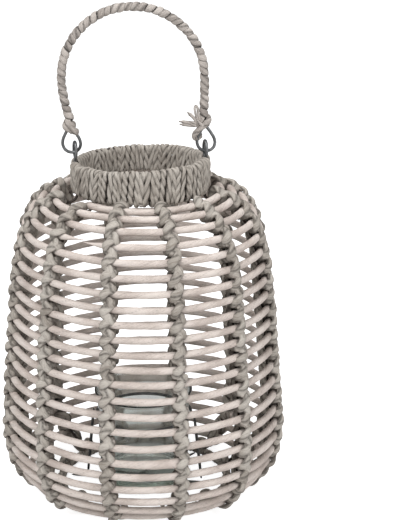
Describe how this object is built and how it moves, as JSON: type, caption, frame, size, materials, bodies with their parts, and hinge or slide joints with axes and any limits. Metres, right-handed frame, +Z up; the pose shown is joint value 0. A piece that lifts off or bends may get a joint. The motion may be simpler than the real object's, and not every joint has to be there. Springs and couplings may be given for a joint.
{
  "type": "candle lantern",
  "caption": "Round woven-rope candle lantern with an open bound neck, a swinging bound handle and a removable glass in a wire holder.",
  "frame": {"origin": "centre of the base ring on the surface that the lantern stands on", "axes": "+Z up along the lantern's middle line, front is -Y, +X to the right seen from the front, through the right hook"},
  "size_m": [0.2862, 0.2862, 0.5016],
  "materials": {
    "paper_rope": "twisted paper rope, pale pinkish beige, matt",
    "paper_cord": "twisted paper cord, grey beige, matt",
    "rib_iron": "dark iron wire, dull",
    "grey_steel": "grey drawn steel wire, satin",
    "dark_wire": "dark painted wire, satin",
    "clear_glass": "clear glass with a green edge tint"
  },
  "bodies": {
    "lantern_body": {"rope_01": "paper_rope", "rope_02": "paper_rope", "rope_03": "paper_rope", "rope_04": "paper_rope", "rope_05": "paper_rope", "rope_06": "paper_rope", "rope_07": "paper_rope", "rib_wire_01": "rib_iron", "rib_wire_02": "rib_iron", "rib_wire_03": "rib_iron", "rib_wire_04": "rib_iron", "rib_wire_05": "rib_iron", "rib_wire_06": "rib_iron", "rib_wire_07": "rib_iron", "rib_wire_08": "rib_iron", "rib_wire_09": "rib_iron", "rib_wire_10": "rib_iron", "rib_wire_11": "rib_iron", "rib_wire_12": "rib_iron", "rib_lashing_01": "paper_cord", "rib_lashing_02": "paper_cord", "rib_lashing_03": "paper_cord", "rib_lashing_04": "paper_cord", "rib_lashing_05": "paper_cord", "rib_lashing_06": "paper_cord", "rib_lashing_07": "paper_cord", "rib_lashing_08": "paper_cord", "rib_lashing_09": "paper_cord", "rib_lashing_10": "paper_cord", "rib_lashing_11": "paper_cord", "rib_lashing_12": "paper_cord", "neck_binding": "paper_cord", "neck_hoop_upper": "rib_iron", "neck_hoop_lower": "rib_iron", "base_binding": "paper_cord", "base_hoop": "rib_iron", "base_cross_1": "dark_wire", "base_cross_2": "dark_wire", "holder_hoop": "dark_wire", "holder_leg_1": "dark_wire", "holder_leg_2": "dark_wire", "holder_leg_3": "dark_wire", "holder_leg_4": "dark_wire", "hook_left": "grey_steel", "hook_right": "grey_steel"},
    "handle": {"handle_wire": "grey_steel", "handle_binding": "paper_cord", "handle_knot_left": "paper_cord", "handle_knot_right": "paper_cord"},
    "glass": {"candle_glass": "clear_glass"}
  },
  "joints": [
    {"name": "handle_swing", "type": "hinge", "parent": "lantern_body", "child": "handle", "pos_m": [0, 0, 0.355], "axis": [1, 0, 0], "range_deg": [-84, 84]},
    {"name": "glass_lift", "type": "slide", "parent": "lantern_body", "child": "glass", "axis": [0, 0, 1], "range_m": [0, 0.35]}
  ]
}
